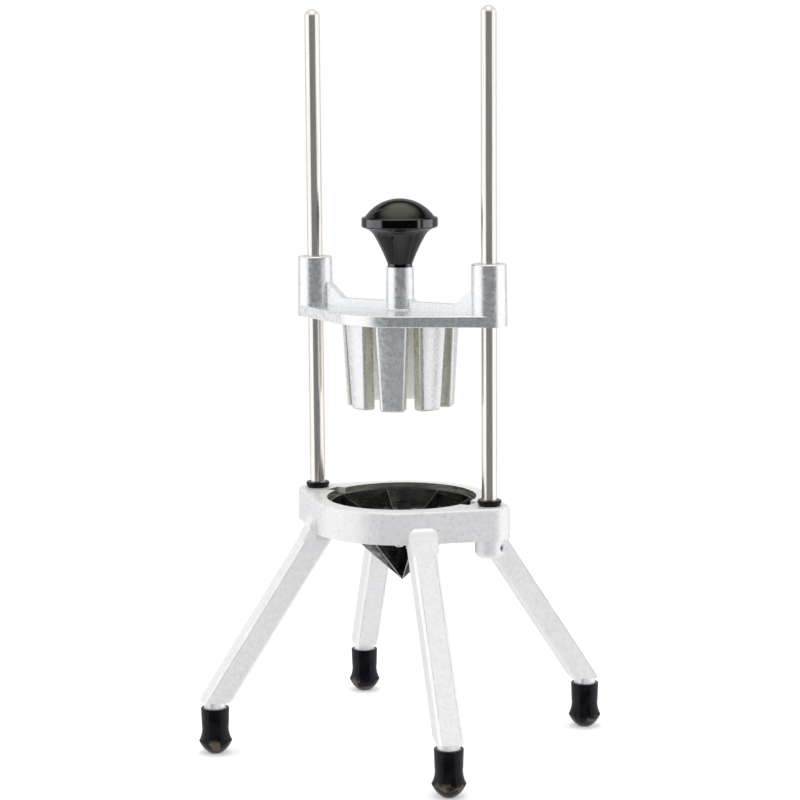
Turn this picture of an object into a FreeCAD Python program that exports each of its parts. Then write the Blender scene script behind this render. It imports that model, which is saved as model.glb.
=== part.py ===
import FreeCAD, Part

import math
import os

"""Apple slicer and wedger press.

A cast base on four splayed legs carries a ring of wedge blades and two vertical guide rods. A pusher with one
finger for each wedge slides on the rods. Pressed down by its knob, it drives the apple through the blades.

Millimetres. +Z is up and the floor is at Z = 0. The origin lies on the axis of the blade ring, +X runs from
the left guide rod to the right one, and -Y is the front. The pusher is modelled at mid height.
"""

V = FreeCAD.Vector
Z_AXIS = V(0, 0, 1)

# ---- fits and clearances ----
SLIP = 0.03                 # radial clearance of a fixed pin, screw or rod in its hole
RUNNING = 0.07              # radial clearance of a guide bush on its rod
SEAT = 0.1                  # clearance of a part that drops into a recess or slot
OVERCUT = 1.0               # how far cutting tools run past a face

# ---- base casting ----
BASE_TOP = 157.3            # upper face above the floor
WALL_H = 20.0               # height of the outer wall
OPENING_R = 47.0            # bore above the ledge
BASE_WALL = 9.3             # wall round the opening, at the top
DRAFT = 0.5                 # outward growth of the wall from top to bottom
LUG_R = 12.4                # radius of the lug round each rod, at the top
ROD_OFFSET = 16.7           # rod axes lie this far outside the opening
BASE_FILLET = 1.8           # rounding of the upper outer edge
LEDGE_W = 6.5               # ledge that carries the blade ring
LEDGE_T = 3.3
NOTCH_W = 12.0              # two notches that locate the blade ring
NOTCH_REACH = 5.5           # how far they cut into the wall
NOTCH_FLOOR_GAP = 0.5       # below the ring's tabs
ROD_BOSS_D = 18.0           # boss below each lug
ROD_BOSS_H = 12.4
ROD_BOSS_FILLET = 3.8
PAD_H = 4.1                 # height of the four pads that stand on the legs' shoulders

# ---- guide rods ----
ROD_D = 9.525               # 3/8 inch
ROD_EXPOSED = 302.8         # from the base's upper face to the rod's end
ROD_DOME = 3.8              # height of the domed end
ROD_RECESS = 0.3            # from the boss's lower face up to the rod's lower end

# ---- legs ----
LEG_W = 15.6                # across the leg
LEG_D = 16.0                # from its inner to its outer face
LEG_CHAMFER = 1.75
LEG_SEAT_IN = 0.8           # the leg's axis meets its seat this far inside the base's upper edge
SPIGOT_D = 6.4              # upper end of the leg, pressed into the base wall
SPIGOT_L = 14.0
SPIGOT_IN = 4.7             # from the base's upper edge in to the spigot's axis
STUB_D = 13.8               # lower end of the leg, inside the rubber foot
STUB_SHOWN = 4.2            # bare length of the stub between foot and bar
LEG_AXIS_DROP = 1.0         # the bar's axis meets the stub's this far below the bar's end
TONGUE_W = 17.4             # tongue of the leg that lies on the base's outer wall
TONGUE_H = 14.3             # above the leg's shoulder
TONGUE_CORNER = 5.2         # radius of its upper corners, seen from outside
TONGUE_BROW_H = 7.5         # height of its rounded upper end, seen from the side
TONGUE_BROW_BULGE = 1.3

# ---- rubber feet ----
FOOT_X = 85.3               # foot axes at +-FOOT_X, +-FOOT_X
FOOT_H = 28.8
FOOT_TOP_D = 17.7
FOOT_LIP = 0.5              # rounding of the upper rim
FOOT_WAIST_D = 17.0
FOOT_WAIST_Z = 17.6
FOOT_RIM_D = 20.7
FOOT_RIM_Z = 7.6
FOOT_SOLE_D = 9.0
FOOT_SOLE_T = 7.0           # rubber under the leg's stub
FOOT_SOLE_BULGE = 0.7
FOOT_NECK_BULGE = 0.8

# ---- rubber bumpers ----
BUMPER_D = 15.0
BUMPER_BASE_D = 13.4
BUMPER_H = 3.6
BUMPER_WIDE_Z = 2.2         # height of its widest part
BUMPER_LIP = 0.5

# ---- blade ring ----
RING_GAP = 0.9              # radial, in the base's opening
RING_T = 1.9                # wall of the ring
RING_DROP = 3.5             # from the base's upper face down to the ring's edge
TAB_W = 10.0                # tabs of the ring that sit in the notches
TAB_T = 2.2
TAB_GAP = 0.7               # between a tab's end and the notch's end
EAR_W = 8.0                 # ears inside the ring that take its screws
EAR_H = 4.2
EAR_DEPTH = 3.0             # how far an ear stands in from the ring's wall
EAR_ROOF = 0.8              # metal left above a screw hole

# ---- blades ----
BLADE_COUNT = 4             # full-width blades, which make twice as many wedges
BLADE_T = 0.8
BLADE_SLOT_FLOOR = 3.6      # wall of the ring left under a blade
BLADE_DROP = 40.7           # from the blade's lower edge at the ring to its lowest point
BLADE_DIP = 23.0            # how far the cutting edge falls from the ring to the axis
BLADE_TIP = 1.5             # half width of the blunt lower tip
BEVEL_H = 2.0               # height of the ground cutting edge
BEVEL_EDGE = 0.2            # thickness left at the cutting edge
BLADE_SLIP = 0.08           # each side of a blade in a slot

# ---- screws ----
SET_SCREW_D = 5.0
SET_SCREW_UP = 6.5          # its axis above the boss's lower face
SET_SCREW_SUNK = 0.4        # from the boss's surface to the screw's end
RING_SCREW_D = 3.0
RING_SCREW_END = 1.0        # from the screw's end to the ear's upper face
RING_SCREW_HEAD_D = 5.4
RING_SCREW_HEAD_H = 3.4
RING_SCREW_HEAD_BULGE = 0.7
RING_SCREW_RIM_H = 1.5      # straight part of the head
BLOCK_SCREW_D = 4.0
BLOCK_SCREW_HEAD_D = 7.6
BLOCK_SCREW_HEAD_H = 2.0
BLOCK_SCREW_COUNT = 4
BLOCK_SCREW_ROOF = 1.0      # metal left above the screw hole in the plate
HEX_SHARE = 0.29            # corner radius of a key socket for each millimetre of screw diameter
HEX_DEPTH = 1.8

# ---- finger block ----
FINGER_LEDGE_GAP = 4.3      # from the fingers to the base's ledge as they pass
BLOCK_T = 3.0               # disc that screws into the plate's recess
BLOCK_BORE_D = 20.0
FINGER_L = 53.0
FINGER_T = 8.0              # radial thickness
FINGER_DRAFT = 3.0          # how far the outer face runs in towards the tip
FINGER_GAP = 1.06           # from a finger's side to the blade, at the plate
FINGER_TIP_GAP = 2.2        # the same at the tip
FINGER_CORNER = 2.6         # rounding of the outer corners
FINGER_TIP_FILLET = 1.8

# ---- pusher casting ----
PUSHER_LIFT = 107.1         # plate above the bumpers in the modelled position
PLATE_T = 7.0
PLATE_MARGIN = 5.6          # plate's edge outside the fingers
PLATE_FILLET = 0.9
PUSHER_LUG_D = 22.2         # boss round each bush, at the plate
PUSHER_LUG_TOP_D = 21.5
PUSHER_LUG_H = 31.0         # above the plate
PUSHER_LUG_FILLET = 1.1
POST_D = 17.9
POST_TOP_D = 16.9
POST_H = 26.5
POST_FILLET = 1.5           # where the post meets the plate
RIB_W = 6.0
RIB_H = 5.2
RIB_RISE = 9.8              # extra height of the rib where it meets a boss
RIB_RUN = 11.6              # length of that slope
RIB_GUSSET = 2.0            # height and length of the gusset at the post
BUSH_T = 1.75               # wall of the guide bush
BUSH_SUNK = 0.6             # from each end of the boss to the bush

# ---- knob ----
KNOB_NECK_D = 15.3
KNOB_NECK_H = 2.0
KNOB_CONE_D = 32.0
KNOB_CONE_Z = 19.7          # top of the cone above the post
KNOB_CONE_BULGE = 0.4
KNOB_FLARE_BULGE = 0.9
KNOB_RIM_D = 47.3
KNOB_RIM_Z = 24.5           # lower edge of the rim
KNOB_RIM_H = 6.4
KNOB_EDGE = 0.8             # bevel of the rim's edges
KNOB_DOME_D = 43.2
KNOB_DOME_H = 11.4
STUD_D = 8.0
STUD_IN_POST = 14.0
STUD_IN_KNOB = 16.0

# ---- derived sizes ----
ROD_R = ROD_D / 2
ROD_X = OPENING_R + ROD_OFFSET
ROD_TOP = BASE_TOP + ROD_EXPOSED
BASE_R = OPENING_R + BASE_WALL
LEDGE_R = OPENING_R - LEDGE_W
WALL_BOTTOM = BASE_TOP - WALL_H
LEDGE_TOP = WALL_BOTTOM + LEDGE_T
ROD_BOSS_BOTTOM = WALL_BOTTOM - ROD_BOSS_H
SET_SCREW_Z = ROD_BOSS_BOTTOM + SET_SCREW_UP
NOTCH_X = OPENING_R + NOTCH_REACH
SEAM_Z = WALL_BOTTOM - PAD_H
FOOT_R = FOOT_X * math.sqrt(2)
LEG_END_Z = FOOT_H + STUB_SHOWN
LEG_AXIS_Z = LEG_END_Z - LEG_AXIS_DROP
LEG_SEAT_R = BASE_R - LEG_SEAT_IN
SPIGOT_R = BASE_R - SPIGOT_IN
LEG_SPLAY = (FOOT_R - LEG_SEAT_R) / (SEAM_Z - LEG_AXIS_Z)
LEG_HALF_D = LEG_D / 2 * math.hypot(1, LEG_SPLAY)
LEG_ANGLES = {"rear_right": 45, "rear_left": 135, "front_left": 225, "front_right": 315}
RING_R = OPENING_R - RING_GAP
RING_IN_R = RING_R - RING_T
RING_TOP = BASE_TOP - RING_DROP
EAR_R = RING_R - (RING_T + EAR_DEPTH) / 2
BLADE_STEP = 180 / BLADE_COUNT
EAR_ANGLE = BLADE_STEP * 4 / 3
EAR_ANGLES = (EAR_ANGLE, 180 - EAR_ANGLE, 180 + EAR_ANGLE, 360 - EAR_ANGLE)
BLADE_R = RING_R - SEAT
BLADE_RIM_Z = LEDGE_TOP + BLADE_SLOT_FLOOR
BLADE_APEX_Z = BLADE_RIM_Z - BLADE_DROP
CUT_RIM_Z = RING_TOP - SEAT
CUT_AXIS_Z = CUT_RIM_Z - BLADE_DIP
BLOCK_R = LEDGE_R - FINGER_LEDGE_GAP
BLOCK_SCREW_R = (BLOCK_BORE_D / 2 + BLOCK_R - FINGER_T) / 2
BLOCK_SCREW_ANGLES = [360 * (index + 0.5) / BLOCK_SCREW_COUNT for index in range(BLOCK_SCREW_COUNT)]
PLATE_R = BLOCK_R + PLATE_MARGIN
PUSHER_Z = BASE_TOP + BUMPER_H + PUSHER_LIFT
PLATE_TOP = PUSHER_Z + PLATE_T
PUSHER_LUG_TOP = PLATE_TOP + PUSHER_LUG_H
POST_TOP = PLATE_TOP + POST_H
BUSH_IN_R = ROD_R + RUNNING
BUSH_R = BUSH_IN_R + BUSH_T


# ---- shape helpers ----
def cylinder(radius, bottom, top, x=0.0):
    """Upright cylinder between two heights."""
    return Part.makeCylinder(radius, top - bottom, V(x, 0, bottom), Z_AXIS)


def cone(bottom_radius, top_radius, bottom, top, x=0.0):
    """Upright frustum between two heights."""
    return Part.makeCone(bottom_radius, top_radius, top - bottom, V(x, 0, bottom), Z_AXIS)


def block(x_min, x_max, width, bottom, top):
    """Box between two X values and two heights, centred on the XZ plane."""
    return Part.makeBox(x_max - x_min, width, top - bottom, V(x_min, -width / 2, bottom))


def turned(shape, angle):
    """Copy of a shape, turned about the Z axis by an angle in degrees."""
    copy = shape.copy()
    copy.rotate(V(0, 0, 0), Z_AXIS, angle)
    return copy


def moved(shape, x=0.0, z=0.0):
    """Copy of a shape, shifted along X and Z."""
    copy = shape.copy()
    copy.translate(V(x, 0, z))
    return copy


def mirrored(shape):
    """Copy of a shape on the other side of the YZ plane."""
    return shape.mirror(V(0, 0, 0), V(1, 0, 0))


def prism(points, vector):
    """Solid made by pushing a closed polygon along a vector."""
    return Part.Face(Part.makePolygon(points + [points[0]])).extrude(vector)


def line(x1, z1, x2, z2):
    """Straight profile edge in the XZ plane."""
    return Part.makeLine(V(x1, 0, z1), V(x2, 0, z2))


def arc(x1, z1, x2, z2, bulge):
    """Profile arc in the XZ plane, whose middle stands the bulge to the left of the chord."""
    length = math.hypot(x2 - x1, z2 - z1)
    middle = V((x1 + x2) / 2 - bulge * (z2 - z1) / length, 0, (z1 + z2) / 2 + bulge * (x2 - x1) / length)
    return Part.Arc(V(x1, 0, z1), middle, V(x2, 0, z2)).toShape()


def cap_arc(radius, bottom, top):
    """Profile arc of a spherical cap in the XZ plane, from its rim up to the axis."""
    height = top - bottom
    sphere_r = (radius ** 2 + height ** 2) / (2 * height)
    half_chord = math.hypot(radius, height) / 2
    return arc(radius, bottom, 0, top, math.sqrt(sphere_r ** 2 - half_chord ** 2) - sphere_r)


def revolved(edges):
    """Solid of revolution about Z, from profile edges that start and end on the axis."""
    start = edges[0].valueAt(edges[0].FirstParameter)
    end = edges[-1].valueAt(edges[-1].LastParameter)
    wire = Part.Wire(edges + [Part.makeLine(end, start)])
    return Part.Face(wire).revolve(V(0, 0, 0), Z_AXIS, 360)


def edges_at(shape, z):
    """Edges of a shape that lie wholly at one height."""
    near = 1e-4
    return [e for e in shape.Edges if abs(e.BoundBox.ZMin - z) < near and abs(e.BoundBox.ZMax - z) < near]


def hex_socket(screw_diameter, x, z):
    """Cutter for a key socket that opens downwards at a height."""
    reach = HEX_SHARE * screw_diameter
    corners = []
    for index in range(6):
        angle = math.radians(60 * index)
        corners.append(V(x + reach * math.cos(angle), reach * math.sin(angle), z - OVERCUT))
    return prism(corners, V(0, 0, HEX_DEPTH + OVERCUT))


def bow_outline(middle_radius, lug_radius, z):
    """Closed wire: a middle circle and a lug circle on each rod axis, joined by their common tangents."""
    lean = math.degrees(math.asin((middle_radius - lug_radius) / ROD_X))
    lug_span = 180 - 2 * lean
    middle_span = 2 * lean
    turns = [(ROD_X, lug_radius, lean - 90, lug_span), (0, middle_radius, 90 - lean, middle_span),
             (-ROD_X, lug_radius, 90 + lean, lug_span), (0, middle_radius, 270 - lean, middle_span)]
    arcs = []
    for x, radius, first, span in turns:
        points = []
        for share in (0, 0.5, 1):
            angle = math.radians(first + span * share)
            points.append(V(x + radius * math.cos(angle), radius * math.sin(angle), z))
        arcs.append(points)
    edges = []
    for index, points in enumerate(arcs):
        following = arcs[(index + 1) % len(arcs)]
        edges.append(Part.Arc(*points).toShape())
        edges.append(Part.makeLine(points[-1], following[0]))
    return Part.Wire(edges)


def bow_plate(middle_radius, lug_radius, draft, bottom, top):
    """Plate with the bow outline, wider by the draft at its lower face."""
    lower = bow_outline(middle_radius + draft, lug_radius + draft, bottom)
    upper = bow_outline(middle_radius, lug_radius, top)
    return Part.makeLoft([lower, upper], True, True)


# ---- base ----
def wall_body(grow, bottom):
    """Solid inside the base's outer wall, grown sideways and carried down to a height."""
    draft = DRAFT * (BASE_TOP - bottom) / WALL_H
    return bow_plate(BASE_R + grow, LUG_R + grow, draft, bottom, BASE_TOP)


def below_wall():
    """Cutter for all that lies under the wall, but for the four pads."""
    reach = ROD_X + 2 * LUG_R
    layer = block(-reach, reach, 2 * reach, SEAM_Z - OVERCUT, WALL_BOTTOM)
    pad = block(LEG_SEAT_R - LEG_HALF_D, reach, LEG_W, SEAM_Z - 2 * OVERCUT, WALL_BOTTOM + OVERCUT)
    return layer.cut([turned(pad, angle) for angle in LEG_ANGLES.values()])


def rod_boss():
    """Boss under the right lug."""
    boss = cylinder(ROD_BOSS_D / 2, ROD_BOSS_BOTTOM, LEDGE_TOP, ROD_X)
    return boss.makeFillet(ROD_BOSS_FILLET, edges_at(boss, ROD_BOSS_BOTTOM))


def right_side_cutters():
    """Notch, rod bore and set screw hole of the right lug."""
    notch_floor = RING_TOP - TAB_T - NOTCH_FLOOR_GAP
    screw_hole = Part.makeCylinder(SET_SCREW_D / 2 + SLIP, ROD_BOSS_D, V(ROD_X, 0, SET_SCREW_Z), V(1, 0, 0))
    return [block(0, NOTCH_X, NOTCH_W, notch_floor, BASE_TOP + OVERCUT),
            cylinder(ROD_R + SLIP, ROD_BOSS_BOTTOM - OVERCUT, BASE_TOP + OVERCUT, ROD_X),
            screw_hole]


def base_casting():
    """Ring with two lugs, the ledge for the blade ring, rod bosses and a pad for each leg."""
    shape = wall_body(0, SEAM_Z)
    shape = shape.makeFillet(BASE_FILLET, edges_at(shape, BASE_TOP)).cut(below_wall())
    shape = shape.fuse([rod_boss(), mirrored(rod_boss())])
    cuts = [cylinder(OPENING_R, LEDGE_TOP, BASE_TOP + OVERCUT),
            cylinder(LEDGE_R, SEAM_Z - OVERCUT, LEDGE_TOP + OVERCUT)]
    cuts += right_side_cutters()
    cuts += [mirrored(cutter) for cutter in right_side_cutters()]
    spigot_hole = cylinder(SPIGOT_D / 2 + SLIP, SEAM_Z - OVERCUT, SEAM_Z + SPIGOT_L + SEAT, SPIGOT_R)
    cuts += [turned(spigot_hole, angle) for angle in LEG_ANGLES.values()]
    ear_hole = cylinder(RING_SCREW_D / 2 + SLIP, WALL_BOTTOM - OVERCUT, LEDGE_TOP + OVERCUT, EAR_R)
    cuts += [turned(ear_hole, angle) for angle in EAR_ANGLES]
    return shape.cut(cuts).removeSplitter()


# ---- legs and feet ----
def leg_axis_r(z):
    """Distance of the leg's axis from the Z axis at a height."""
    return LEG_SEAT_R + LEG_SPLAY * (SEAM_Z - z)


def tongue(angle):
    """Round-topped upper end of the leg at an angle, fitted to the base's outer wall."""
    top = SEAM_Z + TONGUE_H
    brow_z = top - TONGUE_BROW_H
    brow_x = leg_axis_r(brow_z) + LEG_HALF_D
    outer = LEG_SEAT_R + LEG_HALF_D
    side = [line(LEG_SEAT_R, SEAM_Z, outer, SEAM_Z),
            line(outer, SEAM_Z, brow_x, brow_z),
            arc(brow_x, brow_z, BASE_R, top, -TONGUE_BROW_BULGE),
            line(BASE_R, top, LEG_SEAT_R - LEG_HALF_D, top),
            line(LEG_SEAT_R - LEG_HALF_D, top, LEG_SEAT_R, SEAM_Z)]
    body = Part.Face(Part.Wire(side)).extrude(V(0, TONGUE_W, 0))
    body.translate(V(0, -TONGUE_W / 2, 0))
    outline = block(0, outer + OVERCUT, TONGUE_W, SEAM_Z, top)
    upper = [e for e in edges_at(outline, top) if e.BoundBox.YLength < OVERCUT]
    body = body.common(outline.makeFillet(TONGUE_CORNER, upper))
    return turned(body, angle).cut(wall_body(SLIP, SEAM_Z - OVERCUT))


def leg(angle):
    """Splayed bar at an angle, with a tongue and a spigot above and a round stub below."""
    cut_w = LEG_W / 2 - LEG_CHAMFER
    cut_d = LEG_HALF_D * (1 - 2 * LEG_CHAMFER / LEG_D)
    start_z = LEG_END_Z - OVERCUT
    end_z = SEAM_Z + OVERCUT
    corners = [(-LEG_HALF_D, -cut_w), (-cut_d, -LEG_W / 2), (cut_d, -LEG_W / 2), (LEG_HALF_D, -cut_w),
               (LEG_HALF_D, cut_w), (cut_d, LEG_W / 2), (-cut_d, LEG_W / 2), (-LEG_HALF_D, cut_w)]
    section = [V(leg_axis_r(start_z) + depth, width, start_z) for depth, width in corners]
    bar = prism(section, V(leg_axis_r(end_z) - leg_axis_r(start_z), 0, end_z - start_z))
    bar = bar.common(block(0, FOOT_R + 2 * LEG_D, 2 * LEG_W, LEG_END_Z, SEAM_Z))
    spigot = cylinder(SPIGOT_D / 2, SEAM_Z - OVERCUT, SEAM_Z + SPIGOT_L, SPIGOT_R)
    stub = cylinder(STUB_D / 2, FOOT_SOLE_T, LEG_END_Z + OVERCUT, FOOT_R)
    return turned(bar.fuse([spigot, stub]), angle).fuse(tongue(angle)).removeSplitter()


def foot():
    """Rubber ferrule with a flared rim and a domed sole."""
    sole_r, rim_r, waist_r, top_r = FOOT_SOLE_D / 2, FOOT_RIM_D / 2, FOOT_WAIST_D / 2, FOOT_TOP_D / 2
    shape = revolved([line(0, 0, sole_r, 0),
                      arc(sole_r, 0, rim_r, FOOT_RIM_Z, -FOOT_SOLE_BULGE),
                      arc(rim_r, FOOT_RIM_Z, waist_r, FOOT_WAIST_Z, FOOT_NECK_BULGE),
                      line(waist_r, FOOT_WAIST_Z, top_r, FOOT_H - FOOT_LIP),
                      arc(top_r, FOOT_H - FOOT_LIP, top_r - FOOT_LIP, FOOT_H, -FOOT_LIP / 4),
                      line(top_r - FOOT_LIP, FOOT_H, 0, FOOT_H)])
    shape = shape.cut(cylinder(STUB_D / 2 + SLIP, FOOT_SOLE_T, FOOT_H + OVERCUT))
    return moved(shape, x=FOOT_R)


# ---- rods and bumpers ----
def guide_rod():
    """Right guide rod with its domed end."""
    bottom = ROD_BOSS_BOTTOM + ROD_RECESS
    shoulder = ROD_TOP - ROD_DOME
    shape = revolved([line(0, bottom, ROD_R, bottom),
                      line(ROD_R, bottom, ROD_R, shoulder),
                      cap_arc(ROD_R, shoulder, ROD_TOP)])
    return moved(shape, x=ROD_X)


def bumper():
    """Rubber stop round the foot of the right rod."""
    wide = BUMPER_D / 2
    top = BASE_TOP + BUMPER_H
    wide_z = BASE_TOP + BUMPER_WIDE_Z
    shape = revolved([line(0, BASE_TOP, BUMPER_BASE_D / 2, BASE_TOP),
                      line(BUMPER_BASE_D / 2, BASE_TOP, wide, wide_z),
                      arc(wide, wide_z, wide - BUMPER_LIP, top, -BUMPER_LIP / 4),
                      line(wide - BUMPER_LIP, top, 0, top)])
    shape = shape.cut(cylinder(ROD_R + SLIP, BASE_TOP - OVERCUT, top + OVERCUT))
    return moved(shape, x=ROD_X)


def set_screw():
    """Socket set screw that holds the right rod in its boss."""
    length = ROD_BOSS_D / 2 - SET_SCREW_SUNK - ROD_R - SLIP
    shape = cylinder(SET_SCREW_D / 2, 0, length).cut(hex_socket(SET_SCREW_D, 0, 0))
    shape.rotate(V(0, 0, 0), V(0, 1, 0), -90)
    return moved(shape, x=ROD_X + ROD_BOSS_D / 2 - SET_SCREW_SUNK, z=SET_SCREW_Z)


# ---- blades ----
def blade_ring():
    """Thin ring that holds the blades, with two locating tabs and the ears for its screws."""
    bore = cylinder(RING_IN_R, LEDGE_TOP - OVERCUT, RING_TOP + OVERCUT)
    shape = cylinder(RING_R, LEDGE_TOP, RING_TOP).cut(bore)
    in_wall = RING_R - RING_T / 2
    tab = block(in_wall, NOTCH_X - TAB_GAP, TAB_W, RING_TOP - TAB_T, RING_TOP)
    ear = block(RING_IN_R - EAR_DEPTH, in_wall, EAR_W, LEDGE_TOP, LEDGE_TOP + EAR_H)
    shape = shape.fuse([tab, mirrored(tab)] + [turned(ear, angle) for angle in EAR_ANGLES])
    slot_w = BLADE_T + 2 * BLADE_SLIP
    slot = block(-RING_R - OVERCUT, RING_R + OVERCUT, slot_w, BLADE_RIM_Z - SEAT, RING_TOP + OVERCUT)
    hole = cylinder(RING_SCREW_D / 2 + SLIP, LEDGE_TOP - OVERCUT, LEDGE_TOP + EAR_H - EAR_ROOF, EAR_R)
    cuts = [turned(slot, index * BLADE_STEP) for index in range(BLADE_COUNT)]
    cuts += [turned(hole, angle) for angle in EAR_ANGLES]
    return shape.cut(cuts).removeSplitter()


def bevel_cutters():
    """Wedges that grind both faces of a blade down to its cutting edge."""
    half = BLADE_T / 2
    edge = BEVEL_EDGE / 2
    low = CUT_AXIS_Z - BEVEL_H
    high = CUT_AXIS_Z + OVERCUT
    past = edge - (half - edge) * OVERCUT / BEVEL_H
    cutters = []
    for side in (-1, 1):
        corners = [V(0, side * half, low), V(0, side * past, high),
                   V(0, side * (half + OVERCUT), high), V(0, side * (half + OVERCUT), low)]
        for way in (-1, 1):
            cutters.append(prism(corners, V(way * RING_IN_R, 0, BLADE_DIP)))
    return cutters


def blade(index):
    """One full-width V blade, half-lapped at the axis where the blades cross."""
    tip_z = BLADE_APEX_Z + BLADE_TIP * BLADE_DROP / RING_IN_R
    right = [V(BLADE_TIP, 0, tip_z), V(RING_IN_R, 0, BLADE_RIM_Z), V(BLADE_R, 0, BLADE_RIM_Z),
             V(BLADE_R, 0, CUT_RIM_Z), V(RING_IN_R, 0, CUT_RIM_Z)]
    left = [V(-point.x, 0, point.z) for point in reversed(right)]
    outline = [V(0, 0, BLADE_APEX_Z)] + right + [V(0, 0, CUT_AXIS_Z)] + left
    shape = prism([point - V(0, BLADE_T / 2, 0) for point in outline], V(0, BLADE_T, 0))
    lap = (CUT_AXIS_Z - BLADE_APEX_Z) / BLADE_COUNT
    keep_low = BLADE_APEX_Z + lap * index
    keep_high = keep_low + lap
    spread = math.radians(BLADE_STEP)
    half = BLADE_T / 2 * (1 + math.cos(spread)) / math.sin(spread) + BLADE_SLIP
    cuts = bevel_cutters()
    if index > 0:
        cuts.append(block(-half, half, 2 * BLADE_T, BLADE_APEX_Z - OVERCUT, keep_low + SEAT / 2))
    if index < BLADE_COUNT - 1:
        cuts.append(block(-half, half, 2 * BLADE_T, keep_high - SEAT / 2, CUT_RIM_Z))
    return turned(shape.cut(cuts), index * BLADE_STEP)


def ring_screw():
    """Button-head screw that holds the blade ring down from below."""
    shank_r = RING_SCREW_D / 2
    head_r = RING_SCREW_HEAD_D / 2
    head_z = WALL_BOTTOM - RING_SCREW_HEAD_H
    rim_z = WALL_BOTTOM - RING_SCREW_RIM_H
    end_z = LEDGE_TOP + EAR_H - RING_SCREW_END
    shape = revolved([line(0, head_z, shank_r, head_z),
                      arc(shank_r, head_z, head_r, rim_z, -RING_SCREW_HEAD_BULGE),
                      line(head_r, rim_z, head_r, WALL_BOTTOM),
                      line(head_r, WALL_BOTTOM, shank_r, WALL_BOTTOM),
                      line(shank_r, WALL_BOTTOM, shank_r, end_z),
                      line(shank_r, end_z, 0, end_z)])
    return moved(shape.cut(hex_socket(RING_SCREW_D, 0, head_z)), x=EAR_R)


# ---- pusher ----
def pusher_lug():
    """Tall boss round the right bush."""
    shape = cone(PUSHER_LUG_D / 2, PUSHER_LUG_TOP_D / 2, PUSHER_Z, PUSHER_LUG_TOP, ROD_X)
    return shape.makeFillet(PUSHER_LUG_FILLET, edges_at(shape, PUSHER_LUG_TOP))


def rib():
    """Stiffening rib from the post to the right boss, rising towards both."""
    low = PLATE_TOP + RIB_H
    post_x = POST_TOP_D / 2
    lug_x = ROD_X - PUSHER_LUG_TOP_D / 2
    side = [(0, PLATE_TOP - PLATE_FILLET), (ROD_X, PLATE_TOP - PLATE_FILLET), (ROD_X, low + RIB_RISE),
            (lug_x, low + RIB_RISE), (lug_x - RIB_RUN, low), (post_x + RIB_GUSSET, low),
            (post_x, low + RIB_GUSSET), (0, low + RIB_GUSSET)]
    return prism([V(x, -RIB_W / 2, z) for x, z in side], V(0, RIB_W, 0))


def pusher_casting():
    """Plate with its two guide bosses, centre post and rib."""
    plate = bow_plate(PLATE_R, PUSHER_LUG_D / 2, 0.0, PUSHER_Z, PLATE_TOP)
    plate = plate.makeFillet(PLATE_FILLET, edges_at(plate, PLATE_TOP) + edges_at(plate, PUSHER_Z))
    plate = plate.fuse(cone(POST_D / 2, POST_TOP_D / 2, PLATE_TOP, POST_TOP))
    post_foot = [e for e in edges_at(plate, PLATE_TOP) if abs(e.BoundBox.XMax - POST_D / 2) < SLIP]
    plate = plate.makeFillet(POST_FILLET, post_foot)
    shape = plate.fuse([pusher_lug(), mirrored(pusher_lug()), rib(), mirrored(rib())])
    bush_hole = cylinder(BUSH_R + SLIP, PUSHER_Z - OVERCUT, PUSHER_LUG_TOP + OVERCUT, ROD_X)
    screw_hole = cylinder(BLOCK_SCREW_D / 2 + SLIP, PUSHER_Z, PLATE_TOP - BLOCK_SCREW_ROOF, BLOCK_SCREW_R)
    cuts = [cylinder(BLOCK_R + SEAT, PUSHER_Z - OVERCUT, PUSHER_Z + BLOCK_T),
            cylinder(STUD_D / 2 + SLIP, POST_TOP - STUD_IN_POST - SEAT, POST_TOP + OVERCUT),
            bush_hole, mirrored(bush_hole)]
    cuts += [turned(screw_hole, angle) for angle in BLOCK_SCREW_ANGLES]
    return shape.cut(cuts).removeSplitter()


def guide_bush():
    """Plastic liner between the right boss and its rod."""
    bottom = PUSHER_Z + BUSH_SUNK
    top = PUSHER_LUG_TOP - BUSH_SUNK
    sleeve = cylinder(BUSH_R, bottom, top, ROD_X)
    return sleeve.cut(cylinder(BUSH_IN_R, bottom - OVERCUT, top + OVERCUT, ROD_X))


def finger_section(radius, blade_gap, z):
    """Closed wire of a finger's section, with a curved outer face and rounded outer corners."""
    inner = radius - FINGER_T
    half_cell = math.radians(BLADE_STEP / 2)
    half = (inner * math.sin(half_cell) - BLADE_T / 2 - blade_gap) / math.cos(half_cell)
    corner_y = half - FINGER_CORNER
    corner_x = math.sqrt((radius - FINGER_CORNER) ** 2 - corner_y ** 2)
    swing = math.atan2(corner_y, corner_x)
    middle = (swing + math.pi / 2) / 2
    touch = (radius * math.cos(swing), radius * math.sin(swing))
    bend = (corner_x + FINGER_CORNER * math.cos(middle), corner_y + FINGER_CORNER * math.sin(middle))
    left = [V(x, y, z) for x, y in (touch, bend, (corner_x, half), (inner, half))]
    right = [V(point.x, -point.y, z) for point in left]
    edges = [Part.Arc(right[0], V(radius, 0, z), left[0]).toShape(),
             Part.Arc(left[0], left[1], left[2]).toShape(),
             Part.makeLine(left[2], left[3]),
             Part.makeLine(left[3], right[3]),
             Part.makeLine(right[3], right[2]),
             Part.Arc(right[2], right[1], right[0]).toShape()]
    return Part.Wire(edges)


def finger():
    """Tapered finger, before it is turned to its place."""
    tip_z = PUSHER_Z - FINGER_L
    tip = finger_section(BLOCK_R - FINGER_DRAFT, FINGER_TIP_GAP, tip_z)
    root = finger_section(BLOCK_R, FINGER_GAP, PUSHER_Z)
    shape = Part.makeLoft([tip, root], True, True)
    return shape.makeFillet(FINGER_TIP_FILLET, edges_at(shape, tip_z))


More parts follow.
